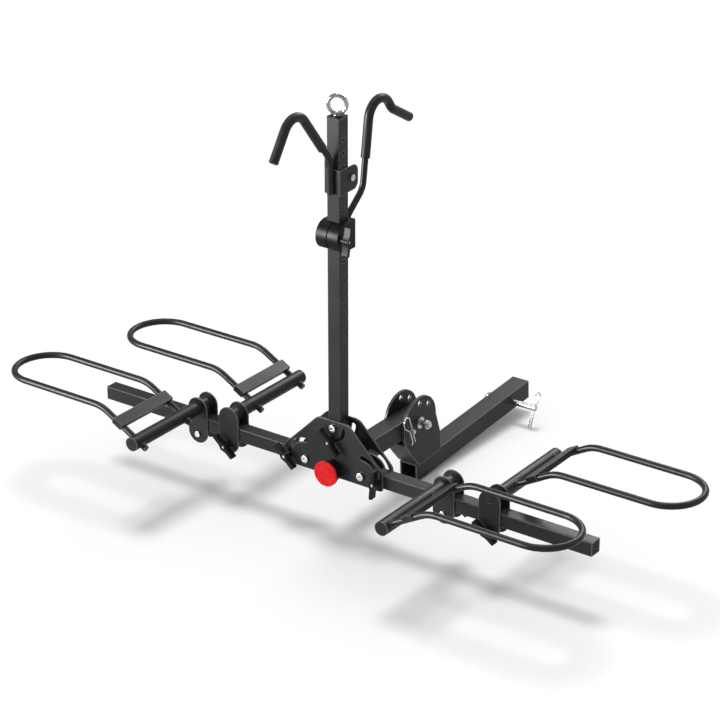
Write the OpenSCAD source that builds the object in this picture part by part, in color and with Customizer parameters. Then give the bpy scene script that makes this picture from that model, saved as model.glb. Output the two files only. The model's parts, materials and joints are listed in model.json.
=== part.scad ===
// Hitch mounted bike rack for two bikes. Millimetres. X runs along the wheel beams, Y towards the
// car and Z up. The parts are placed from the middle of the beam line under the mast, and the whole
// rack is then moved so that the origin is the middle of the hitch bar's far end.

/* [Show] */
// one named part, or all of them

/* [Hitch bar] */
// outside of the square bar that goes into a 2 inch receiver
hitch_w = 50; // [45:0.5:51]
// length of the bar
hitch_len = 522; // [400:1:700]
// wall of the bar and of the arm
hitch_wall = 4; // [2:0.5:6]
// upward slope of the bar towards the car, in degrees
hitch_slope = 3.6; // [0:0.1:8]
// height of the bar's near end below the beam line
hitch_drop = 142; // [100:1:200]
// radius of the hitch pin
hitch_pin_r = 7.9; // [6:0.1:8]
// distance of the hitch pin from the far end
hitch_pin_in = 80; // [50:1:120]

/* [Tilt pivot] */
// distance of the tilt pivot from the mast
tilt_y = 298; // [250:1:350]
// radius of the tops of the two pivot plates
tilt_plate_r = 69; // [55:1:80]
// thickness of the pivot plates
tilt_plate_t = 6; // [4:0.5:10]
// radius of the tilt bolt
tilt_bolt_r = 7; // [5:0.5:10]
// distance of the lock pin holes from the pivot
lock_pin_at = 53; // [45:0.5:60]
// radius of the lock pin
lock_pin_r = 6; // [4:0.5:8]
// outside of the square arm
arm_w = 49; // [40:0.5:50]

/* [Centre plates] */
// thickness of the front and rear plates
plate_t = 5; // [3:0.5:8]
// half of the plates' width
plate_half = 143; // [120:1:170]
// height of the plates' top edge
plate_top = 122; // [100:1:140]
// height of the mast's pivot
mast_pivot_z = 103; // [90:1:115]
// distance of a beam's pivot from the mast
beam_pivot_x = 81; // [70:1:95]
// distance between the mast's pivot and its lock bolt
mast_lock_at = 30; // [25:1:40]
// distance between a beam's pivot and its lock bolt
beam_lock_at = 48; // [40:1:55]
// radius of the reflector
reflector_r = 32; // [25:1:38]

/* [Tubes] */
// outside of the beams and of the mast
tube_w = 35; // [30:1:40]
// wall of the beams and of the mast
tube_wall = 2.5; // [1.5:0.5:4]
// distance of a beam's outer end from the mast
beam_end = 707; // [600:1:800]
// height of the mast's top
mast_top = 871; // [700:1:950]
// distance between two holes of the mast
hole_pitch = 32.6; // [20:0.1:45]
// number of holes in each of the mast's sides
hole_count = 16; // [10:1:20]

/* [Wheel holders] */
// distances of the left front, left rear, right front and right rear holders from the mast
holder_x = [-411, -315, 313, 438]; // [-600:1:600]
// height of a holder's tube
holder_z = 42; // [38:0.5:50]
// radius of a holder's tube
holder_r = 17.5; // [14:0.5:20]
// length of a holder's tube in front of the mast
holder_len = 271; // [220:1:300]
// half of the width of a holder's clamp plates
clamp_half = 29; // [24:0.5:34]
// radius of a wheel loop's bar
loop_r = 8; // [6:0.5:10]
// distances of a loop's two legs from the mast
loop_y = [79, 247]; // [60:1:280]
// height of a loop's level part above the tube
loop_rise = 62; // [50:1:80]
// distance of a loop's bend from the tube
loop_bend = 110; // [90:1:130]
// distances of the cradles from the tube, up along the slope of the loops' legs
cradle_at = [49, 31, 54, 49]; // [24:1:60]
// distance of a loop's far end from the tube
loop_end = 439; // [380:1:480]

/* [Frame hooks] */
// radius of the hooks' rods
rod_r = 7.5; // [6:0.5:9]
// radius of the hooks' grips
grip_r = 11; // [9:0.5:14]
// height of the upper hook's clamp
upper_z = 728; // [650:1:760]
// height of the lower hook's clamp
lower_z = 588; // [500:1:620]

/* [Hidden] */
$fn = 96;
gap = 0.5;
fit = 0.05;
lap = 0.8;
thinner = 0.12;
tube_corner = 2.2;
plate_in = tube_w / 2 + gap;
plate_out = plate_in + plate_t;
clamp_t = 4;
side_sign = [-1, -1, 1, 1];
end_sign = [-1, 1, -1, 1];
bolt_r = 5;
steel = [0.13, 0.13, 0.14];
zinc = [0.78, 0.79, 0.81];
plastic = [0.07, 0.07, 0.08];
foam = [0.11, 0.11, 0.12];
red = [0.85, 0.05, 0.06];
far_end = [0, tilt_y - 4 + hitch_len * cos(hitch_slope), hitch_len * sin(hitch_slope) - hitch_drop];

// ---- shared shapes

module rounded(w, h, r) {
    square([w - 2 * r, h], center = true);
    square([w, h - 2 * r], center = true);
    for (x = [-1, 1], y = [-1, 1]) translate([x * (w / 2 - r), y * (h / 2 - r)]) circle(r);
}

// a square tube along Z that starts at z = 0
module square_tube(w, wall, length) {
    linear_extrude(length) difference() {
        rounded(w, w, tube_corner);
        rounded(w - 2 * wall, w - 2 * wall, 1);
    }
}

module along_x(x = 0) { translate([x, 0, 0]) rotate([0, 90, 0]) children(); }
module along_y(y = 0) { translate([0, y, 0]) rotate([-90, 0, 0]) children(); }

module cross_hole(axis, r, length) {
    if (axis == "x") along_x(-length / 2) cylinder(r = r, h = length);
    if (axis == "y") along_y(-length / 2) cylinder(r = r, h = length);
}

module hex(across, h) { cylinder(r = across / sqrt(3), h = h, $fn = 6); }

function turn(a, b, c) = let (u = b - a, v = c - b) atan2(u.x * v.y - u.y * v.x, u.x * v.x + u.y * v.y);
function heading(a, b) = atan2(b.y - a.y, b.x - a.x);
function bend_at(bend, i) = is_list(bend) ? bend[i - 1] : bend;
function trim_by(p, i, bend) = i <= 0 || i >= len(p) - 1 ? 0
    : bend_at(bend, i) * tan(abs(turn(p[i - 1], p[i], p[i + 1])) / 2);

// a round bar that follows the points p in the XY plane; bend is one radius, or one for each corner.
// The straight pieces are a hair thinner than the bends and run a little way into them.
module bent_bar(p, bend, r) {
    last = len(p) - 2;
    for (i = [0:last]) {
        a = trim_by(p, i, bend) - (i > 0 ? lap : 0);
        b = trim_by(p, i + 1, bend) - (i < last ? lap : 0);
        translate(p[i]) rotate(heading(p[i], p[i + 1])) along_x(a)
            cylinder(r = r - thinner, h = norm(p[i + 1] - p[i]) - a - b);
    }
    if (last > 0) for (i = [1:last]) {
        t = turn(p[i - 1], p[i], p[i + 1]);
        side = t > 0 ? 1 : -1;
        at = bend_at(bend, i);
        translate(p[i]) rotate(heading(p[i - 1], p[i]))
            translate([-trim_by(p, i, bend), side * at, 0])
                rotate(side > 0 ? -90 : 90 + t) rotate_extrude(angle = abs(t))
                    translate([at, 0]) circle(r);
    }
}

// moves the XY drawing plane into the rack's YZ plane
module in_yz() { rotate([90, 0, 90]) children(); }

// moves the XY drawing plane into the rack's XZ plane, with Z towards the front
module in_xz() { rotate([90, 0, 0]) children(); }

// places a child at the hitch bar's near end, with Z along the bar
module on_hitch() { translate([0, tilt_y - 4, -hitch_drop]) rotate([hitch_slope - 90, 0, 0]) children(); }

// ---- hitch bar and tilt pivot

module hitch_tube() {
    color(steel) on_hitch() difference() {
        square_tube(hitch_w, hitch_wall, hitch_len);
        translate([0, 0, hitch_len - hitch_pin_in]) cross_hole("x", hitch_pin_r + fit, hitch_w + 2);
    }
}

module pivot_plate_shape() {
    difference() {
        union() {
            circle(tilt_plate_r);
            polygon([[-tilt_plate_r, 0], [-60, -43], [-38, -76], [-3, -116.8], [92, -110.8],
                     [90, -60], [tilt_plate_r, 0]]);
        }
        circle(tilt_bolt_r + fit);
        translate([-lock_pin_at, 0]) circle(lock_pin_r + fit);
        for (a = [92, 48]) rotate(a) translate([lock_pin_at, 0]) circle(7.5);
    }
}

// two plates, joined by a base on top of the bar and by a sloping web under the arm
module pivot_bracket() {
    base_t = 6;
    color(steel) translate([0, tilt_y, 0]) {
        for (x = [-hitch_w / 2 - tilt_plate_t, hitch_w / 2])
            translate([x, 0, 0]) in_yz() linear_extrude(tilt_plate_t) pivot_plate_shape();
        translate([-hitch_w / 2, 0, 0]) in_yz() linear_extrude(hitch_w) {
            polygon([[-59, -45], [-38, -76], [-4, -115.6], [2, -112], [-33, -73], [-54, -43]]);
            translate([-4, -hitch_drop]) rotate(hitch_slope)
                translate([3, hitch_w / 2 + fit]) square([93, base_t]);
        }
    }
}

module ring_nut(across, r, h) {
    difference() {
        hex(across, h);
        translate([0, 0, -1]) cylinder(r = r + fit, h = h + 2);
    }
}

module washer(r, hole, h) {
    difference() {
        cylinder(r = r, h = h);
        translate([0, 0, -1]) cylinder(r = hole + fit, h = h + 2);
    }
}

module tilt_bolt() {
    out = hitch_w / 2 + tilt_plate_t;
    color(zinc) translate([0, tilt_y, 0]) {
        along_x(-out - 9) hex(22, 9);
        along_x(-out) cylinder(r = tilt_bolt_r, h = 2 * out + 30);
        along_x(out) washer(15, tilt_bolt_r, 2.5);
        along_x(out + 12) ring_nut(22, tilt_bolt_r, 12);
    }
}

// a spring clip in the XY plane: ring on top, one straight leg down through the pin, one outside it
module spring_clip(pin_r, leg, ring, rise) {
    side = pin_r + 3;
    top = rise + ring;
    bent_bar([[0, -leg], [0, top], [2 * ring, top], [2 * ring, rise - ring + 3], [side, pin_r],
              [side, 8 - leg], [side + 4, -leg]], [ring - 1, ring - 1, 5, 5, 5], 1.6);
}

// places a clip on a pin along X, leaning by an angle
module at_clip(x, lean) { translate([x, 0, 0]) rotate([lean, 0, 0]) in_yz() children(); }

module cross_pin(r, head_x, tip_x, clip_x, lean) {
    difference() {
        union() {
            along_x(head_x) cylinder(r = r, h = tip_x - head_x - r / 2);
            along_x(tip_x - r / 2) cylinder(r = 0.7 * r, h = r / 2);
            children();
        }
        translate([clip_x, 0, 0]) rotate([lean, 0, 0]) translate([0, 0, -30]) cylinder(r = 2, h = 60);
    }
}

lock_pin_y = tilt_y - lock_pin_at;
lock_clip_x = 45;
lock_lean = 20;
module lock_pin() {
    out = hitch_w / 2 + tilt_plate_t;
    color(zinc) translate([0, lock_pin_y, 0]) cross_pin(lock_pin_r, -out - 3, 52, lock_clip_x, lock_lean)
        along_x(-out - 7) cylinder(r = 10, h = 6.5);
}
module lock_clip() {
    color(zinc) translate([0, lock_pin_y, 0]) at_clip(lock_clip_x, lock_lean)
        mirror([1, 0, 0]) spring_clip(lock_pin_r, 34, 12.5, 40);
}

hitch_clip_x = 88;
hitch_lean = -25;
module at_hitch_pin() { on_hitch() translate([0, 0, hitch_len - hitch_pin_in]) rotate([90, 0, 0]) children(); }
module hitch_pin() {
    color(zinc) at_hitch_pin() cross_pin(hitch_pin_r, -36, 98, hitch_clip_x, hitch_lean)
        rotate([-90, 0, 0]) bent_bar([[-35.9, 0], [-54, 0], [-54, 50]], 14, hitch_pin_r);
}
module hitch_clip() {
    color(zinc) at_hitch_pin() at_clip(hitch_clip_x, hitch_lean) spring_clip(hitch_pin_r, 55, 12.5, 27);
}

// ---- arm and centre plates

// the arm stands on the lock pin through an open slot, so it can swing up off it
module arm_tube() {
    color(steel) difference() {
        along_y(plate_out) square_tube(arm_w, hitch_wall, tilt_y + 36 - plate_out);
        translate([0, tilt_y, 0]) {
            cross_hole("x", tilt_bolt_r + fit, arm_w + 2);
            in_yz() linear_extrude(arm_w + 2, center = true) {
                translate([-lock_pin_at, 0]) circle(lock_pin_r + gap);
                intersection() {
                    difference() {
                        circle(lock_pin_at + lock_pin_r + gap);
                        circle(lock_pin_at - lock_pin_r - gap);
                    }
                    translate([-arm_w * 2, -arm_w]) square([arm_w * 2, arm_w]);
                    translate([-lock_pin_at - 20, -arm_w / 2 - 1]) square([40, arm_w / 2 + 1]);
                }
            }
        }
    }
}

// a quarter ring slot of radius at, which runs from angle a through 90 degrees
module arc_slot(at, r, a) {
    for (b = [a, a + 90]) rotate(b) translate([at, 0]) circle(r + thinner);
    rotate(a) intersection() {
        difference() {
            circle(at + r);
            circle(at - r);
        }
        square(at + r + 1);
    }
}

module plate_shape(slot_r) {
    top_r = 25;
    side_r = 22;
    low_r = 8;
    bottom = -24;
    side_z = 15;
    top_x = plate_half - side_r + side_z + side_r * sqrt(2) - (plate_top - top_r) - top_r * sqrt(2);
    half_outline = [
        [plate_half - low_r, bottom], [plate_half, bottom + low_r], [plate_half, side_z],
        [plate_half - side_r + side_r / sqrt(2), side_z + side_r / sqrt(2)],
        [top_x + top_r / sqrt(2), plate_top - top_r + top_r / sqrt(2)], [top_x, plate_top]
    ];
    difference() {
        union() {
            for (s = [-1, 1]) {
                translate([s * top_x, plate_top - top_r]) circle(top_r);
                translate([s * (plate_half - side_r), side_z]) circle(side_r);
                translate([s * (plate_half - low_r), bottom + low_r]) circle(low_r);
            }
            polygon([each half_outline, each [for (i = [len(half_outline) - 1:-1:0])
                [-half_outline[i].x, half_outline[i].y]]]);
        }
        translate([0, mast_pivot_z]) circle(bolt_r + fit);
        for (s = [-1, 1]) translate([s * beam_pivot_x, 0]) circle(bolt_r + fit);
        translate([0, mast_pivot_z]) arc_slot(mast_lock_at, slot_r, -90);
        translate([-beam_pivot_x, 0]) arc_slot(beam_lock_at, slot_r, 90);
        translate([beam_pivot_x, 0]) arc_slot(beam_lock_at, slot_r, 0);
    }
}

module front_plate() {
    color(steel) translate([0, -plate_in, 0]) in_xz() linear_extrude(plate_t) plate_shape(5.6);
}
module rear_plate() {
    color(steel) translate([0, plate_out, 0]) in_xz() linear_extrude(plate_t) plate_shape(6.2);
}

// button head bolts with a hex socket, in front, and nuts behind
module pivot_bolts() {
    color(zinc) for (p = [[0, mast_pivot_z], [-beam_pivot_x, 0], [beam_pivot_x, 0]])
        translate([p.x, 0, p.y]) {
            difference() {
                union() {
                    along_y(-plate_out) cylinder(r = bolt_r, h = 2 * plate_out + 11);
                    along_y(-plate_out - 6) cylinder(r = 9.5, h = 6);
                }
                along_y(-plate_out - 7) hex(6, 5);
            }
            along_y(plate_out) washer(10, bolt_r, 1.5);
            along_y(plate_out + 1.5) ring_nut(16, bolt_r, 8);
        }
}

reflector_z = -4.5;
cup_depth = 28;
module reflector_cup() {
    color(plastic) translate([0, -plate_out, reflector_z]) along_y(-cup_depth) {
        cylinder(r = reflector_r - 5, h = cup_depth);
        cylinder(r = reflector_r, h = 4);
    }
}
module reflector_lens() {
    color(red) translate([0, -plate_out - cup_depth, reflector_z]) {
        along_y(-4) cylinder(r = reflector_r, h = 4);
        along_y(-5.5) cylinder(r = reflector_r - 1, h = 2);
    }
}

// ---- mast

mast_bottom = mast_pivot_z - mast_lock_at - 18;
module mast_tube() {
    color(steel) difference() {
        translate([0, 0, mast_bottom]) square_tube(tube_w, tube_wall, mast_top - 3 - mast_bottom);
        for (i = [0:hole_count - 1]) translate([0, 0, mast_top - 54 - i * hole_pitch])
            cross_hole("x", 4.5, tube_w + 2);
        for (z = [mast_pivot_z, mast_pivot_z - mast_lock_at]) translate([0, 0, z])
            cross_hole("y", bolt_r + fit, tube_w + 2);
    }
}
module mast_plug() {
    inside = tube_w - 2 * tube_wall - 0.2;
    color(plastic) difference() {
        union() {
            translate([0, 0, mast_top - 23]) linear_extrude(20) rounded(inside, inside, 2);
            translate([0, 0, mast_top - 3]) linear_extrude(3) rounded(tube_w, tube_w, tube_corner);
        }
        translate([0, 0, mast_top - 24]) cylinder(r = 6 + fit, h = 30);
    }
}
module eye_bolt() {
    ring = 21;
    wire = 4.8;
    color(zinc) translate([0, 0, mast_top]) rotate(25) {
        translate([0, 0, -22]) cylinder(r = 6, h = 24);
        cylinder(r = 12, h = 3);
        translate([0, 0, 2]) cylinder(r = 8.5, h = 6);
        translate([0, 0, ring + 5]) rotate([90, 0, 0]) rotate_extrude() translate([ring, 0]) circle(wire);
    }
}

// ---- wing levers: local Z points away from what they clamp, the blade lies at an angle in XY

wing_deep = 17;
module wing(blade, angle, stand) {
    thick = 9;
    difference() {
        union() {
            cylinder(r = 8, h = stand + 3);
            translate([0, 0, stand]) linear_extrude(wing_deep) rotate(angle) {
                rounded(blade, thick, 3);
                polygon([[-30, 0], [0, -8.6], [30, 0], [0, 8.6]]);
                circle(9);
            }
        }
        translate([0, 0, -1]) cylinder(r = bolt_r + fit, h = stand + 6);
        translate([0, 0, stand]) cylinder(r = 3.8 + fit, h = wing_deep + 1);
    }
}

// the thin end of a clamping bolt, which shows in the middle of the blade
module wing_screw(stand) { translate([0, 0, stand + 3]) cylinder(r = 3.8, h = wing_deep - 4.5); }

module lock_bolt_shape() {
    color(zinc) {
        along_y(-plate_out - 0.4 - 12.5) cylinder(r = bolt_r, h = 2 * plate_out + 13.9);
        along_y(plate_out + 0.4) cylinder(r = 10, h = 4);
        translate([0, -plate_out - 0.4, 0]) in_xz() wing_screw(8.5);
    }
}
module lever_shape(blade, angle) {
    color(plastic) translate([0, -plate_out - 0.4, 0]) in_xz() wing(blade, angle, 8.5);
}

module at_mast_lock() { translate([0, 0, mast_pivot_z - mast_lock_at]) children(); }
module at_left_lock() { translate([-beam_pivot_x - beam_lock_at, 0, 0]) children(); }
module at_right_lock() { translate([beam_pivot_x + beam_lock_at, 0, 0]) children(); }
module mast_lever() { at_mast_lock() lever_shape(76, -48); }
module mast_lock_bolt() { at_mast_lock() lock_bolt_shape(); }
module left_lever() { at_left_lock() lever_shape(74, -43); }
module left_lock_bolt() { at_left_lock() lock_bolt_shape(); }
module right_lever() { at_right_lock() lever_shape(76, -96); }
module right_lock_bolt() { at_right_lock() lock_bolt_shape(); }

// ---- wheel beams

beam_start = beam_pivot_x - 25;
module beam() {
    color(steel) difference() {
        along_x(beam_start) square_tube(tube_w, tube_wall, beam_end - beam_start);
        for (x = [beam_pivot_x, beam_pivot_x + beam_lock_at]) translate([x, 0, 0])
            cross_hole("y", bolt_r + fit, tube_w + 2);
    }
}
module plug() {
    inside = tube_w - 2 * tube_wall - 0.2;
    color(plastic) along_x(beam_end - 18) linear_extrude(17.8) rounded(inside, inside, 2);
}
module right_beam() { beam(); }
module right_plug() { plug(); }
module left_beam() { mirror([1, 0, 0]) beam(); }
module left_plug() { mirror([1, 0, 0]) plug(); }

// ---- wheel holders: drawn as the right rear one and mirrored to their places

clamp_bolt_z = -29;
loop_slope = atan2(loop_rise, loop_bend);

module at_holder(i) {
    translate([holder_x[i], 0, 0]) mirror([side_sign[i] < 0 ? 1 : 0, 0, 0])
        mirror([0, end_sign[i] < 0 ? 1 : 0, 0]) children();
}

// X runs up along the loop's legs from the tube's middle
module on_slope() { translate([0, 0, holder_z]) rotate([0, -loop_slope, 0]) children(); }

module clamp_plate(hole) {
    linear_extrude(clamp_t) difference() {
        union() {
            translate([0, holder_z - 3]) circle(clamp_half);
            translate([0, clamp_bolt_z + 5]) circle(clamp_half);
            translate([-clamp_half, clamp_bolt_z + 5]) square([2 * clamp_half, holder_z - clamp_bolt_z - 8]);
        }
        translate([0, holder_z]) circle(hole);
        translate([0, clamp_bolt_z]) circle(4 + fit);
    }
}
module holder_clamp() {
    color(steel) {
        translate([0, plate_in + clamp_t, 0]) in_xz() clamp_plate(holder_r + fit);
        translate([0, -plate_in, 0]) in_xz() clamp_plate(3.5);
    }
}

// a round tube with a closed outer end and cross holes for the loop's legs
module holder_arm() {
    start = -plate_in;
    color(steel) difference() {
        translate([0, 0, holder_z]) along_y(start) difference() {
            cylinder(r = holder_r, h = holder_len - start);
            translate([0, 0, -1]) cylinder(r = holder_r - 2.5, h = holder_len - start - 3);
        }
        on_slope() for (y = loop_y) translate([0, y, 0]) cross_hole("x", loop_r + fit, 60);
    }
}

module holder_loop() {
    half = (loop_y[1] - loop_y[0]) / 2;
    middle = (loop_y[1] + loop_y[0]) / 2;
    stub = 30;
    color(steel) translate([0, 0, holder_z]) {
        for (y = loop_y) translate([0, y, 0]) rotate([90, 0, 0])
            bent_bar([[-stub * cos(loop_slope), -stub * sin(loop_slope)], [loop_bend, loop_rise],
                      [loop_end - half + lap, loop_rise]], 90, loop_r);
        translate([loop_end - half, middle, loop_rise]) rotate(-90) rotate_extrude(angle = 180)
            translate([half, 0]) circle(loop_r);
    }
}

// a folded plate over the two legs, with a flange on each side and a shallow one towards the tube
module holder_cradle(near) {
    wide = 30;
    over = loop_r + 0.3;
    inside = loop_y[1] - loop_y[0] - 2 * over;
    length = loop_y[1] - loop_y[0] + 2 * over + 6;
    color(steel) on_slope() translate([near, loop_y[0] - over - 3, over]) {
        cube([wide, length, 3]);
        for (y = [0, length - 3]) translate([0, y, -14]) cube([wide, 3, 15]);
        for (x = [0, wide - 3]) translate([x, 2 * over + 3, -10.5]) cube([3, inside, 11.5]);
    }
}

module holder_bolt() {
    outer = plate_in + clamp_t;
    color(zinc) {
        translate([0, 0, clamp_bolt_z]) {
            along_y(-outer - 8) cylinder(r = 4, h = 2 * outer + 9);
            along_y(outer) cylinder(r = 7.5, h = 5);
            translate([0, -outer - 0.4, 0]) in_xz() {
                translate([0, 0, 6]) cylinder(r = bolt_r, h = 6.5);
                wing_screw(8.5);
            }
        }
    }
}
module holder_knob(angle) {
    color(plastic) translate([0, -plate_in - clamp_t - 0.4, clamp_bolt_z]) in_xz() wing(72, angle, 8.5);
}

knob_turn = [-140, -140, -36, -36];
module clamp_lf() { at_holder(0) holder_clamp(); }
module clamp_lr() { at_holder(1) holder_clamp(); }
module clamp_rf() { at_holder(2) holder_clamp(); }
module clamp_rr() { at_holder(3) holder_clamp(); }
module arm_lf() { at_holder(0) holder_arm(); }
module arm_lr() { at_holder(1) holder_arm(); }
module arm_rf() { at_holder(2) holder_arm(); }
module arm_rr() { at_holder(3) holder_arm(); }
module loop_lf() { at_holder(0) holder_loop(); }
module loop_lr() { at_holder(1) holder_loop(); }
module loop_rf() { at_holder(2) holder_loop(); }
module loop_rr() { at_holder(3) holder_loop(); }
module cradle_lf() { at_holder(0) holder_cradle(cradle_at[0]); }
module cradle_lr() { at_holder(1) holder_cradle(cradle_at[1]); }
module cradle_rf() { at_holder(2) holder_cradle(cradle_at[2]); }
module cradle_rr() { at_holder(3) holder_cradle(cradle_at[3]); }
module bolt_lf() { at_holder(0) holder_bolt(); }
module bolt_lr() { at_holder(1) holder_bolt(); }
module bolt_rf() { at_holder(2) holder_bolt(); }
module bolt_rr() { at_holder(3) holder_bolt(); }
module knob_lf() { at_holder(0) holder_knob(knob_turn[0]); }
module knob_lr() { at_holder(1) holder_knob(knob_turn[1]); }
module knob_rf() { at_holder(2) holder_knob(knob_turn[2]); }
module knob_rr() { at_holder(3) holder_knob(knob_turn[3]); }

// ---- frame hooks, drawn in the YZ plane

hook_bend = 44;
sleeve_t = 3.5;
sleeve_in = tube_w / 2 + 0.4;
front_rod = -sleeve_in - sleeve_t - rod_r;
front_hook = [[front_rod, upper_z - 38], [front_rod, upper_z + 47], [-161, upper_z + 212],
              [-237, upper_z + 98]];
front_grip_from = [-56, upper_z + 79];
rear_rod = 30;
rear_hook = [[rear_rod, lower_z - 46], [rear_rod, lower_z + 24], [98, lower_z + 80],
             [136, lower_z + 354], [212, lower_z + 241], [286, lower_z + 199]];
rear_grip_from = [107.7, lower_z + 150];

// the last points of a path, pulled back or pushed on along its last stretch
function with_end(p, more) = let (n = len(p) - 1, d = (p[n] - p[n - 1]) / norm(p[n] - p[n - 1]))
    [for (i = [0:n]) i < n ? p[i] : p[n] + d * more];
function from_point(start, p, first) = [start, each [for (i = [first:len(p) - 1]) p[i]]];

module rod(p) { color(steel) in_yz() bent_bar(with_end(p, -3), hook_bend, rod_r); }
module grip(start, p, first) {
    color(foam) in_yz() difference() {
        bent_bar(from_point(start, p, first), hook_bend, grip_r);
        bent_bar(with_end(p, -3), hook_bend, rod_r + fit);
    }
}

ear_y = 24.5;
ear_z = -7;
module upper_clamp() {
    side = sleeve_in + sleeve_t;
    color(steel) translate([0, 0, upper_z]) {
        for (x = [-side, sleeve_in]) translate([x, 0, 0]) in_yz() linear_extrude(sleeve_t) difference() {
            translate([0, -9]) rounded(100, 60, 18);
            translate([ear_y, ear_z]) circle(4 + fit);
            translate([-60, -60]) square([60 - side, 120]);
        }
        translate([-side, -side, -39]) cube([2 * side, sleeve_t, 60]);
        translate([-side, -side, 15]) cube([sleeve_t, 14, 46]);
    }
}
module upper_hook() { rod(front_hook); }
module upper_grip() { grip(front_grip_from, front_hook, 2); }
module upper_bolt() {
    side = sleeve_in + sleeve_t;
    color(zinc) translate([0, ear_y, upper_z + ear_z]) {
        along_x(-side - 12) cylinder(r = 4, h = 2 * side + 12);
        along_x(side) cylinder(r = 8, h = 5);
        along_x(-side - 8) ring_nut(13, 4, 7.9);
    }
}

lower_bolt_y = -31;
module lower_clamp() {
    half_w = 31;
    half_gap = 1.2;
    color(plastic) for (s = [0, 1]) mirror([s, 0, 0]) translate([0, 0, lower_z]) difference() {
        translate([half_gap, 0, 0]) in_yz() linear_extrude(half_w - half_gap) {
            translate([-10, 0]) circle(35);
            translate([-10, -35]) square([36, 70]);
        }
        translate([-1, -sleeve_in, -40]) cube([sleeve_in + 1, 2 * sleeve_in, 80]);
        translate([0, rear_rod, -40]) cylinder(r = rod_r + fit, h = 80);
        translate([0, lower_bolt_y, 0]) cross_hole("x", 4 + fit, 70);
    }
}
module lower_hook() { rod(rear_hook); }
module lower_grip() { grip(rear_grip_from, rear_hook, 3); }
module lower_bolt() {
    color(zinc) translate([0, lower_bolt_y, lower_z]) {
        along_x(-32) cylinder(r = 4, h = 72);
        along_x(-36) cylinder(r = 7.5, h = 5);
        translate([31.4, 0, 0]) in_yz() {
            translate([0, 0, 6]) cylinder(r = bolt_r, h = 6.5);
            wing_screw(8.5);
        }
    }
}
// the end nut of the rear hook's rod
module lower_stop() {
    color(zinc) translate([0, rear_rod, lower_z - 52]) cylinder(r = 5, h = 6);
}
module lower_knob() {
    color(plastic) translate([31.4, lower_bolt_y, lower_z]) in_yz() wing(70, 78, 8.5);
}

// ---- assembly

translate(-far_end) {
    hitch_tube();
    pivot_bracket();
    tilt_bolt();
    lock_pin();
    lock_clip();
    hitch_pin();
    hitch_clip();
    arm_tube();
    rear_plate();
    front_plate();
    pivot_bolts();
    reflector_cup();
    reflector_lens();
    mast_tube();
    mast_plug();
    eye_bolt();
    mast_lever();
    mast_lock_bolt();
    left_beam();
    left_plug();
    left_lever();
    left_lock_bolt();
    right_beam();
    right_plug();
    right_lever();
    right_lock_bolt();
    clamp_lf();
    arm_lf();
    loop_lf();
    cradle_lf();
    bolt_lf();
    knob_lf();
    clamp_lr();
    arm_lr();
    loop_lr();
    cradle_lr();
    bolt_lr();
    knob_lr();
    clamp_rf();
    arm_rf();
    loop_rf();
    cradle_rf();
    bolt_rf();
    knob_rf();
    clamp_rr();
    arm_rr();
    loop_rr();
    cradle_rr();
    bolt_rr();
    knob_rr();
    upper_clamp();
    upper_hook();
    upper_grip();
    upper_bolt();
    lower_clamp();
    lower_hook();
    lower_grip();
    lower_bolt();
    lower_knob();
    lower_stop();
}
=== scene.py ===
"""A folding hitch bike rack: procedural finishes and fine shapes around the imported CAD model."""

import json
import math

import bmesh
import bpy
from mathutils import Matrix, Vector


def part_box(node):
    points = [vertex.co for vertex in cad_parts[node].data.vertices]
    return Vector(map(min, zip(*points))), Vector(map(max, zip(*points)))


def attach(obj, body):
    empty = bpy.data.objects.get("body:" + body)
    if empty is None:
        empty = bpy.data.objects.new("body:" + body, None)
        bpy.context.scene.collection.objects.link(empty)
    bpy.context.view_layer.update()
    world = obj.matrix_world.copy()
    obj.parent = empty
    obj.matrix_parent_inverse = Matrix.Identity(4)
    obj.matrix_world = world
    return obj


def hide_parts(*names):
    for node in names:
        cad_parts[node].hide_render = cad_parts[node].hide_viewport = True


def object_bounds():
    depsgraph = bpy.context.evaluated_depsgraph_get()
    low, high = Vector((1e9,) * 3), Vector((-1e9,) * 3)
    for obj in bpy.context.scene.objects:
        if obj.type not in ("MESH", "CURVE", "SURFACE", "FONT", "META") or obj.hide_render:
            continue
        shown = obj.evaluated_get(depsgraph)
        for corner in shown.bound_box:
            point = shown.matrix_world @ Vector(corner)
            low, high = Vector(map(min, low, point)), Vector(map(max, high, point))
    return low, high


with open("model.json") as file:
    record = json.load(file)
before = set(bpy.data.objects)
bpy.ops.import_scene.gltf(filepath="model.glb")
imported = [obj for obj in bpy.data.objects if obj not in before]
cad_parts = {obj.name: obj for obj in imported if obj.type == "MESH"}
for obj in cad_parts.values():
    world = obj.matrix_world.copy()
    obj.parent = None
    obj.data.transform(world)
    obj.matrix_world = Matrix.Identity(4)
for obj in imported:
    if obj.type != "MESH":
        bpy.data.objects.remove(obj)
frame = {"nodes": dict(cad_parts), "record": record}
CAD_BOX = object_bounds()
MM = 0.001

BODY_OF = {n: b for b, nodes in frame["record"]["behaviour"]["bodies"].items() for n in nodes}
SLOT_OF = {s["node"]: s["material_slot"] for s in frame["record"]["subparts"]}


def middle(node):
    low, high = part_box(node)
    return (low + high) / 2


# The middle of the beam line under the mast: every shape below is placed from here, in millimetres.
HUB = Vector((middle("mast_tube").x, middle("left_beam").y, middle("left_beam").z))


def at(x, y, z):
    return HUB + Vector((x, y, z)) * MM


# ---------------------------------------------------------------- materials


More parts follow.
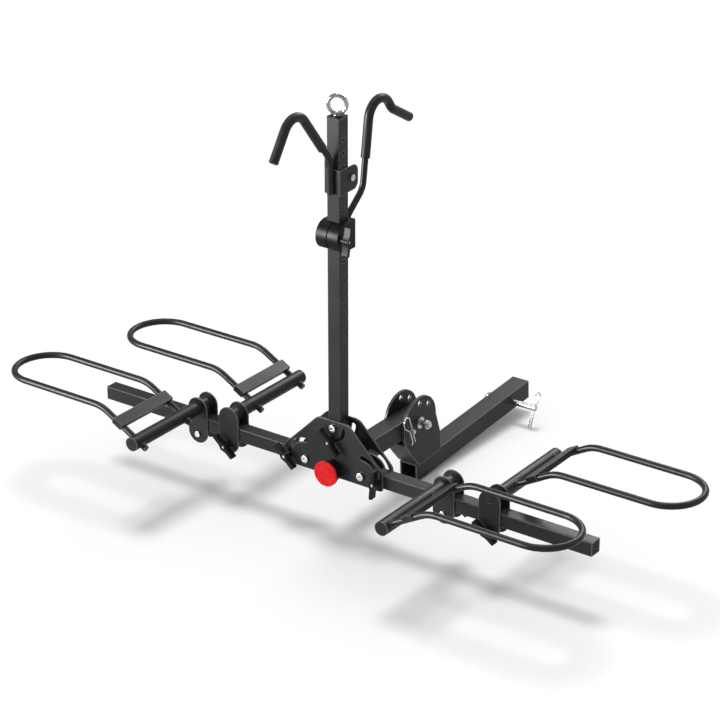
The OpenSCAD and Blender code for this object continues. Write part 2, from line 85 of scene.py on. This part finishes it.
class Nodes:
    """A short way to build a node tree."""

    def __init__(self, name):
        self.material = bpy.data.materials.new(name)
        self.material.use_nodes = True
        self.tree = self.material.node_tree
        self.tree.nodes.clear()
        self.out = self.add("ShaderNodeOutputMaterial")
        self.shader = self.add("ShaderNodeBsdfPrincipled")
        self.link(self.shader, "BSDF", self.out, "Surface")
        self.place = self.add("ShaderNodeTexCoord")

    def add(self, kind, **values):
        node = self.tree.nodes.new(kind)
        for key, value in values.items():
            setattr(node, key, value)
        return node

    def link(self, a, out, b, into):
        self.tree.links.new(a.outputs[out], b.inputs[into])

    def noise(self, scale, detail=2.0, roughness=0.5, stretch=(1, 1, 1)):
        mapping = self.add("ShaderNodeMapping")
        mapping.inputs["Scale"].default_value = stretch
        self.link(self.place, "Object", mapping, "Vector")
        node = self.add("ShaderNodeTexNoise")
        node.inputs["Scale"].default_value = scale
        node.inputs["Detail"].default_value = detail
        node.inputs["Roughness"].default_value = roughness
        self.link(mapping, "Vector", node, "Vector")
        return node

    def ramp(self, source, out, stops):
        node = self.add("ShaderNodeValToRGB")
        node.color_ramp.elements[0].position = stops[0][0]
        node.color_ramp.elements[1].position = stops[-1][0]
        for stop in stops[1:-1]:
            node.color_ramp.elements.new(stop[0])
        for element, stop in zip(node.color_ramp.elements, stops):
            v = stop[1]
            element.color = (*v, 1) if isinstance(v, tuple) else (v, v, v, 1)
        self.link(source, out, node, "Fac")
        return node

    def mix(self, mask, mask_out, a, b):
        """a and b are (node, output) or a colour."""
        node = self.add("ShaderNodeMix", data_type="RGBA")
        self.link(mask, mask_out, node, 0)
        for socket, value in ((6, a), (7, b)):
            if hasattr(value[0], "outputs"):
                self.tree.links.new(value[0].outputs[value[1]], node.inputs[socket])
            else:
                node.inputs[socket].default_value = (*value, 1)
        return node

    def edges(self, radius, low, high):
        """A mask, white where the surface turns over a sharp edge, that the materials use to paint
        a highlight along edges.
        """
        bevel = self.add("ShaderNodeBevel", samples=4)
        bevel.inputs["Radius"].default_value = radius
        geometry = self.add("ShaderNodeNewGeometry")
        dot = self.add("ShaderNodeVectorMath", operation="DOT_PRODUCT")
        self.link(bevel, "Normal", dot, 0)
        self.link(geometry, "Normal", dot, 1)
        return self.ramp(dot, "Value", [(low, 1.0), (high, 0.0)])

    def bump(self, layers):
        """layers are (node, output, strength, depth in metres)."""
        last = None
        for node, out, strength, depth in layers:
            bump = self.add("ShaderNodeBump")
            bump.inputs["Strength"].default_value = strength
            bump.inputs["Distance"].default_value = depth
            self.link(node, out, bump, "Height")
            if last is not None:
                self.link(last, "Normal", bump, "Normal")
            last = bump
        self.link(last, "Normal", self.shader, "Normal")

    def rough(self, source, out, low, high):
        node = self.add("ShaderNodeMapRange")
        node.inputs["From Min"].default_value = 0.3
        node.inputs["From Max"].default_value = 0.7
        node.inputs["To Min"].default_value = low
        node.inputs["To Max"].default_value = high
        self.link(source, out, node, "Value")
        self.link(node, "Result", self.shader, "Roughness")

    def fixed(self, **values):
        for key, value in values.items():
            self.shader.inputs[key.replace("_", " ")].default_value = value


def powder_coat():
    m = Nodes("black_steel")
    patch = m.noise(7, 4)
    grain = m.noise(950, 3, 0.6)
    orange_peel = m.noise(260, 2)
    shade = m.ramp(patch, "Fac", [(0.3, (0.012, 0.0123, 0.013)), (0.7, (0.019, 0.0194, 0.0205))])
    speck = m.ramp(grain, "Fac", [(0.45, 0.0), (0.72, 0.35)])
    coat = m.mix(speck, "Color", (shade, "Color"), (0.045, 0.046, 0.048))
    # A light rim along the sharp edges, painted in over the coat as a highlight.
    painted_edge_highlight = m.mix(m.edges(0.003, 0.88, 0.985), "Color", (coat, 2), (0.24, 0.243, 0.25))
    m.link(painted_edge_highlight, 2, m.shader, "Base Color")
    m.rough(patch, "Fac", 0.34, 0.44)
    m.bump([(orange_peel, "Fac", 0.25, 0.0002), (grain, "Fac", 0.35, 0.00012)])
    m.fixed(IOR=1.2)
    return m.material


def zinc():
    m = Nodes("bright_zinc")
    patch = m.noise(60, 3)
    brushed = m.noise(1500, 2, 0.5)
    shade = m.ramp(patch, "Fac", [(0.3, (0.34, 0.345, 0.35)), (0.7, (0.47, 0.47, 0.466))])
    m.link(shade, "Color", m.shader, "Base Color")
    m.rough(patch, "Fac", 0.2, 0.34)
    m.bump([(brushed, "Fac", 0.15, 0.00005)])
    m.fixed(Metallic=1.0)
    return m.material


def chrome():
    m = Nodes("chrome")
    patch = m.noise(90, 3)
    shade = m.ramp(patch, "Fac", [(0.3, (0.26, 0.263, 0.266)), (0.7, (0.33, 0.33, 0.331))])
    m.link(shade, "Color", m.shader, "Base Color")
    m.rough(patch, "Fac", 0.1, 0.18)
    m.bump([(patch, "Fac", 0.03, 0.00005)])
    m.fixed(Metallic=1.0)
    return m.material


def moulded_plastic():
    m = Nodes("black_plastic")
    patch = m.noise(25, 3)
    grain = m.noise(1400, 2, 0.55)
    shade = m.ramp(patch, "Fac", [(0.3, (0.008, 0.0082, 0.009)), (0.7, (0.013, 0.0132, 0.014))])
    # A lighter rim along the sharp edges, painted in over the plastic as a highlight.
    painted_edge_highlight = m.mix(m.edges(0.0012, 0.86, 0.985), "Color", (shade, "Color"), (0.05, 0.051, 0.053))
    m.link(painted_edge_highlight, 2, m.shader, "Base Color")
    m.rough(patch, "Fac", 0.34, 0.46)
    m.bump([(grain, "Fac", 0.3, 0.00008)])
    m.fixed(IOR=1.14)
    return m.material


def foam():
    m = Nodes("foam_rubber")
    patch = m.noise(30, 3)
    skin = m.noise(420, 3, 0.6)
    rings = m.noise(90, 2)
    shade = m.ramp(patch, "Fac", [(0.3, (0.012, 0.0123, 0.013)), (0.7, (0.02, 0.0204, 0.0215))])
    m.link(shade, "Color", m.shader, "Base Color")
    m.rough(patch, "Fac", 0.4, 0.52)
    m.bump([(rings, "Fac", 0.2, 0.0003), (skin, "Fac", 0.3, 0.00012)])
    m.fixed(IOR=1.2, Sheen_Weight=0.04, Sheen_Roughness=0.4)
    return m.material


def red_lens():
    m = Nodes("red_lens")
    patch = m.noise(120, 3)
    prisms = m.add("ShaderNodeTexVoronoi")
    prisms.inputs["Scale"].default_value = 420
    m.link(m.place, "Object", prisms, "Vector")
    shade = m.ramp(patch, "Fac", [(0.3, (0.62, 0.008, 0.009)), (0.7, (0.90, 0.024, 0.025))])
    m.bump([(prisms, "Distance", 0.5, 0.0004)])
    m.link(shade, "Color", m.shader, "Base Color")
    m.rough(patch, "Fac", 0.14, 0.24)
    m.fixed(IOR=1.15, Coat_Weight=0.03, Coat_Roughness=0.2)
    # A faint red glow painted in: the lens gives off light of its own, though it is no lamp.
    m.shader.inputs["Emission Color"].default_value = (0.9, 0.02, 0.02, 1)
    m.shader.inputs["Emission Strength"].default_value = 0.1
    return m.material


MATERIALS = {
    "black_steel": powder_coat(),
    "bright_zinc": zinc(),
    "chrome": chrome(),
    "black_plastic": moulded_plastic(),
    "foam_rubber": foam(),
    "red_lens": red_lens(),
}

# ---------------------------------------------------------------- mesh helpers


def piece(name, bm, node, smooth_angle, stands_for_it=True):
    """Makes a mesh object that rides on the body of a CAD node, and as a rule stands for it."""
    bm.normal_update()
    mesh = bpy.data.meshes.new(name)
    bm.to_mesh(mesh)
    bm.free()
    for polygon in mesh.polygons:
        polygon.use_smooth = True
    mesh.set_sharp_from_angle(angle=math.radians(smooth_angle))
    obj = bpy.data.objects.new(name, mesh)
    bpy.context.scene.collection.objects.link(obj)
    slot = SLOT_OF[node]
    mesh.materials.append(MATERIALS[slot])
    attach(obj, BODY_OF[node])
    if stands_for_it:
        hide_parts(node)
    return obj


def corner_path(points, bends, step=6.0):
    """The points of a bent bar's middle line: straight runs with an arc at each corner.
    bends has one radius for each corner, and step is the arcs' step in degrees."""
    line = [Vector(points[0])]
    for i in range(1, len(points) - 1):
        a, b, c = (Vector(p) for p in points[i - 1:i + 2])
        u, v = (b - a).normalized(), (c - b).normalized()
        angle = u.angle(v)
        radius = bends[i - 1]
        trim = radius * math.tan(angle / 2)
        start = b - u * trim
        across = (v - u * u.dot(v)).normalized()
        centre = start + across * radius
        count = max(2, round(math.degrees(angle) / step))
        for k in range(count + 1):
            t = angle * k / count
            p = centre - across * radius * math.cos(t) + u * radius * math.sin(t)
            if (p - line[-1]).length > 1e-6:
                line.append(p)
    line.append(Vector(points[-1]))
    return line


def sweep(bm, line, radius, sides, chamfer):
    """A round bar along a line, in metres, with chamfered flat ends."""
    line = [Vector(p) for p in line]
    radii = [radius] * len(line)
    for end, near in ((0, 1), (-1, -2)):
        way = (line[near] - line[end]).normalized()
        index = 1 if end == 0 else len(line) - 1
        line.insert(index, line[end] + way * chamfer)
        radii.insert(index, radius)
        radii[end] = radius - chamfer
    tangents = []
    for i, p in enumerate(line):
        before = line[i] - line[i - 1] if i else line[1] - line[0]
        after = line[i + 1] - line[i] if i < len(line) - 1 else before
        tangents.append((before.normalized() + after.normalized()).normalized())
    side = tangents[0].orthogonal().normalized()
    rings = []
    for p, tangent, r in zip(line, tangents, radii):
        side = (side - tangent * side.dot(tangent)).normalized()
        up = tangent.cross(side)
        ring = []
        for k in range(sides):
            t = math.tau * k / sides
            ring.append(bm.verts.new(p + (side * math.cos(t) + up * math.sin(t)) * r))
        rings.append(ring)
    for a, b in zip(rings, rings[1:]):
        for k in range(sides):
            bm.faces.new((a[k], a[(k + 1) % sides], b[(k + 1) % sides], b[k]))
    bm.faces.new(reversed(rings[0]))
    bm.faces.new(rings[-1])


CORNER = math.radians(30)
FLAT = math.radians(0.6)


def softened(node, width):
    """A copy of a CAD node with its sharp edges chamfered, which stands for the node. The normals
    are weighted by area, so that the chamfers don't shade the flat faces."""
    bm = bmesh.new()
    bm.from_mesh(frame["nodes"][node].data)
    bmesh.ops.remove_doubles(bm, verts=bm.verts, dist=1e-6)
    bmesh.ops.dissolve_limit(bm, angle_limit=FLAT, verts=bm.verts, edges=bm.edges)
    edges = [e for e in bm.edges if len(e.link_faces) == 2 and e.calc_face_angle(0) > CORNER]
    bmesh.ops.bevel(bm, geom=edges, offset=width * MM, offset_type="OFFSET", segments=1,
                    profile=0.5, affect="EDGES", clamp_overlap=True)
    bmesh.ops.triangulate(bm, faces=[f for f in bm.faces if len(f.verts) > 4])
    obj = piece(node + "_body", bm, node, 44)
    even = obj.modifiers.new("even", "WEIGHTED_NORMAL")
    even.keep_sharp = True
    even.weight = 90


def lathe(bm, origin, axis, profile, sides=32):
    """A turned shape. Its profile is (distance along the axis, radius), in millimetres."""
    axis = Vector(axis).normalized()
    u = axis.orthogonal().normalized()
    v = axis.cross(u)
    rings = []
    for distance, radius in profile:
        centre = origin + axis * distance * MM
        rings.append([bm.verts.new(centre + (u * math.cos(math.tau * k / sides)
                                             + v * math.sin(math.tau * k / sides)) * radius * MM)
                      for k in range(sides)])
    for a, b in zip(rings, rings[1:]):
        for k in range(sides):
            bm.faces.new((a[k], a[(k + 1) % sides], b[(k + 1) % sides], b[k]))
    bm.faces.new(reversed(rings[0]))
    bm.faces.new(rings[-1])


def torus(bm, centre, u, v, ring, wire, count=56, sides=20):
    """A ring of round wire in the plane of u and v, in millimetres."""
    normal = u.cross(v)
    rings = []
    for i in range(count):
        t = math.tau * i / count
        out = u * math.cos(t) + v * math.sin(t)
        rings.append([bm.verts.new(centre + (out * (ring + wire * math.cos(math.tau * k / sides))
                                             + normal * wire * math.sin(math.tau * k / sides)) * MM)
                      for k in range(sides)])
    for i in range(count):
        a, b = rings[i], rings[(i + 1) % count]
        for k in range(sides):
            bm.faces.new((a[k], b[k], b[(k + 1) % sides], a[(k + 1) % sides]))


# ---------------------------------------------------------------- pieces

# Sizes and places in millimetres, which repeat part.scad's. SLOPE is the hitch bar's slope, its
# 3.6 degrees turned into radians. The bar starts at BAR_START_Y and BAR_START_Z, and its pin is
# PIN_ALONG further along it.
LOOP_R, ROD_R, GRIP_R, WIRE_R = 8, 7.5, 11, 1.6
LOOP_RUN, LOOP_STUB, LOOP_BEND = 110, 30, 90
HOOK_BEND = 44
UPPER, LOWER = 728, 588
MAST_TOP = 871
TILT_Y, LOCK_PIN_Y = 298, 245
SLOPE = math.radians(3.6)
BAR_START_Y, BAR_START_Z = 294, -142
PIN_ALONG = 442


def bar(node, points, bends, radius, chamfer=1.2, sides=28):
    """A clean bent bar that stands for a CAD node. The points are in metres, the rest in
    millimetres."""
    bm = bmesh.new()
    sweep(bm, corner_path(points, [b * MM for b in bends]), radius * MM, sides, chamfer * MM)
    piece(node + "_bar", bm, node, 40)


def wheel_loop(holder):
    """The bar goes up one leg, around the far end and down the other leg."""
    tube = middle("arm_" + holder)
    low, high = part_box("loop_" + holder)
    side = -1 if holder[0] == "l" else 1
    level = high.z - LOOP_R * MM
    far = (high.x if side > 0 else low.x) - side * LOOP_R * MM
    near_leg, far_leg = low.y + LOOP_R * MM, high.y - LOOP_R * MM
    slope = math.atan2(level - tube.z, LOOP_RUN * MM)
    stub = LOOP_STUB * MM
    root_x = tube.x - side * stub * math.cos(slope)
    root_z = tube.z - stub * math.sin(slope)
    corner_x = tube.x + side * LOOP_RUN * MM
    points = [(root_x, near_leg, root_z), (corner_x, near_leg, level), (far, near_leg, level),
              (far, far_leg, level), (corner_x, far_leg, level), (root_x, far_leg, root_z)]
    half = (far_leg - near_leg) / 2 / MM
    bar("loop_" + holder, points, (LOOP_BEND, half, half, LOOP_BEND), LOOP_R)


def hook_path(points):
    return [at(0, y, z) for y, z in points]


def spring_clip(node, origin, lean, flip, pin_r, leg, ring, rise):
    """A wire clip: one leg through the pin, the other bent around it, and a ring on top."""
    along = Vector((0, math.cos(lean), math.sin(lean))) * flip
    up = Vector((0, -math.sin(lean), math.cos(lean)))
    side, top = pin_r + 3, rise + ring
    flat = [(0, -leg), (0, top), (2 * ring, top), (2 * ring, rise - ring + 3), (side, pin_r),
            (side, 8 - leg), (side + 4, -leg)]
    points = [origin + (along * x + up * y) * MM for x, y in flat]
    bar(node, points, (ring - 1, ring - 1, 5, 5, 5), WIRE_R, 0.5, 14)


def eye_bolt():
    """A shank, a washer and a collar, with a ring above them that is turned by 25 degrees."""
    turn = math.radians(25)
    top = at(0, 0, MAST_TOP)
    across, up = Vector((math.cos(turn), math.sin(turn), 0)), Vector((0, 0, 1))
    bm = bmesh.new()
    lathe(bm, top, up, [(-22, 5), (-21, 6), (-0.2, 6), (-0.2, 11.4), (0.6, 12), (2.4, 12),
                        (3, 11.4), (3, 8.2), (3.6, 8.5), (6.4, 8.5), (8, 6.8)])
    torus(bm, top + up * 26 * MM, across, up, 21, 4.8)
    piece("eye_bolt_turned", bm, "eye_bolt", 40)


def hooks():
    """The two padded hooks: a bare rod, and a thicker grip around its outer part."""
    front_rod = (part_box("upper_clamp")[0].y - HUB.y) / MM - ROD_R
    front = [(front_rod, UPPER - 38), (front_rod, UPPER + 47), (-161, UPPER + 212),
             (-237, UPPER + 98)]
    rear = [(30, LOWER - 46), (30, LOWER + 24), (98, LOWER + 80), (136, LOWER + 354),
            (212, LOWER + 241), (286, LOWER + 199)]
    bar("upper_hook", hook_path(front), (HOOK_BEND, HOOK_BEND), ROD_R)
    bar("lower_hook", hook_path(rear), (HOOK_BEND,) * 4, ROD_R)
    bar("upper_grip", hook_path([(-56, UPPER + 79)] + front[2:]), (HOOK_BEND,), GRIP_R, 2.0, 32)
    bar("lower_grip", hook_path([(107.7, LOWER + 150)] + rear[3:]), (HOOK_BEND,) * 2, GRIP_R,
        2.0, 32)


def tilt_thread():
    """The thread on the end of the tilt bolt: a fine zigzag around its shank."""
    bm = bmesh.new()
    pitch = 1.5
    start = at(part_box("tilt_bolt")[1].x / MM - HUB.x / MM - 6.4, TILT_Y, 0)
    profile = [(i * pitch / 2, 7.1 if i % 2 else 6.6) for i in range(8)]
    lathe(bm, start, (1, 0, 0), profile, 28)
    piece("tilt_thread", bm, "tilt_bolt", 30, stands_for_it=False)


def pins_and_clips():
    """The hitch pin with its hanging tail, and the two spring clips."""
    pin_y = BAR_START_Y + PIN_ALONG * math.cos(SLOPE)
    pin_z = BAR_START_Z + PIN_ALONG * math.sin(SLOPE)
    tail = at(-54, pin_y + 50 * math.sin(SLOPE), pin_z - 50 * math.cos(SLOPE))
    bar("hitch_pin", [at(98, pin_y, pin_z), at(-54, pin_y, pin_z), tail], (14,), 7.9, 2.0)
    spring_clip("hitch_clip", at(88, pin_y, pin_z), SLOPE - math.radians(25), 1, 7.9, 55, 12.5, 27)
    spring_clip("lock_clip", at(45, LOCK_PIN_Y, 0), math.radians(20), -1, 6, 34, 12.5, 40)


for name, node in frame["nodes"].items():
    node.data.materials.clear()
    node.data.materials.append(MATERIALS[SLOT_OF[name]])

HOLDERS = ("lf", "lr", "rf", "rr")
for holder in HOLDERS:
    wheel_loop(holder)
hooks()
eye_bolt()
tilt_thread()
pins_and_clips()

SWEPT = {"upper_hook", "lower_hook", "upper_grip", "lower_grip", "eye_bolt", "hitch_pin",
         "hitch_clip", "lock_clip"} | {"loop_" + holder for holder in HOLDERS}
for name in frame["nodes"]:
    if name not in SWEPT:
        softened(name, 0.7 if SLOT_OF[name] == "black_steel" else 0.5)

# ---------------------------------------------------------------- floor, light and camera


def floor():
    """A plain pale floor under the lowest point of the rack, 30 m to each side."""
    bm = bmesh.new()
    bmesh.ops.create_grid(bm, x_segments=1, y_segments=1, size=30)
    mesh = bpy.data.meshes.new("floor")
    bm.to_mesh(mesh)
    bm.free()
    obj = bpy.data.objects.new("floor", mesh)
    obj.location = (0, 0, CAD_BOX[0][2])
    bpy.context.scene.collection.objects.link(obj)
    m = Nodes("floor")
    patch = m.noise(0.6, 2)
    shade = m.ramp(patch, "Fac", [(0.3, (0.86, 0.86, 0.86)), (0.7, (0.90, 0.90, 0.90))])
    m.link(shade, "Color", m.shader, "Base Color")
    m.fixed(Roughness=0.8, Specular_IOR_Level=0.1)
    mesh.materials.append(m.material)


def softbox(name, spot, target, size, power):
    """An area light that shows only in reflections, so that it casts no shadows on the floor."""
    light = bpy.data.lights.new(name, "AREA")
    light.shape = "RECTANGLE"
    light.size, light.size_y = size
    light.energy = power
    obj = bpy.data.objects.new(name, light)
    obj.location = spot
    obj.rotation_euler = (Vector(target) - Vector(spot)).to_track_quat("-Z", "Y").to_euler()
    obj.visible_diffuse = False
    bpy.context.scene.collection.objects.link(obj)


floor()
CENTRE = at(62.1, 0, 287.5)
softbox("front_left", CENTRE + Vector((-2.9, -3.9, 0.9)), CENTRE, (2.6, 2.0), 1800)
softbox("right", CENTRE + Vector((3.6, 1.0, 1.4)), CENTRE, (0.4, 2.6), 16)
softbox("back", CENTRE + Vector((-0.6, 3.6, 2.4)), CENTRE, (2.4, 0.8), 160)

sun = bpy.data.lights.new("sky", "SUN")
sun.energy = 1.75
sun.angle = math.radians(22)
sky = bpy.data.objects.new("sky", sun)
sky.rotation_euler = Vector((0.22, -0.16, -1.0)).to_track_quat("-Z", "Y").to_euler()
bpy.context.scene.collection.objects.link(sky)

world = bpy.data.worlds.new("studio")
world.use_nodes = True
world.node_tree.nodes["Background"].inputs["Color"].default_value = (1, 1, 1, 1)
world.node_tree.nodes["Background"].inputs["Strength"].default_value = 0.62
bpy.context.scene.world = world
bpy.context.scene.view_settings.view_transform = "Standard"

TURN, RISE, AWAY = 0.62, 0.428, 5.8172
BACK = Vector((math.sin(TURN) * math.cos(RISE), -math.cos(TURN) * math.cos(RISE), math.sin(RISE)))
camera = bpy.data.cameras.new("camera")
camera.lens = 125.7
camera.sensor_width = 36
camera.clip_end = 100
view = bpy.data.objects.new("camera", camera)
view.location = CENTRE + BACK * AWAY
view.rotation_euler = (-BACK).to_track_quat("-Z", "Y").to_euler()
bpy.context.scene.collection.objects.link(view)
bpy.context.scene.camera = view
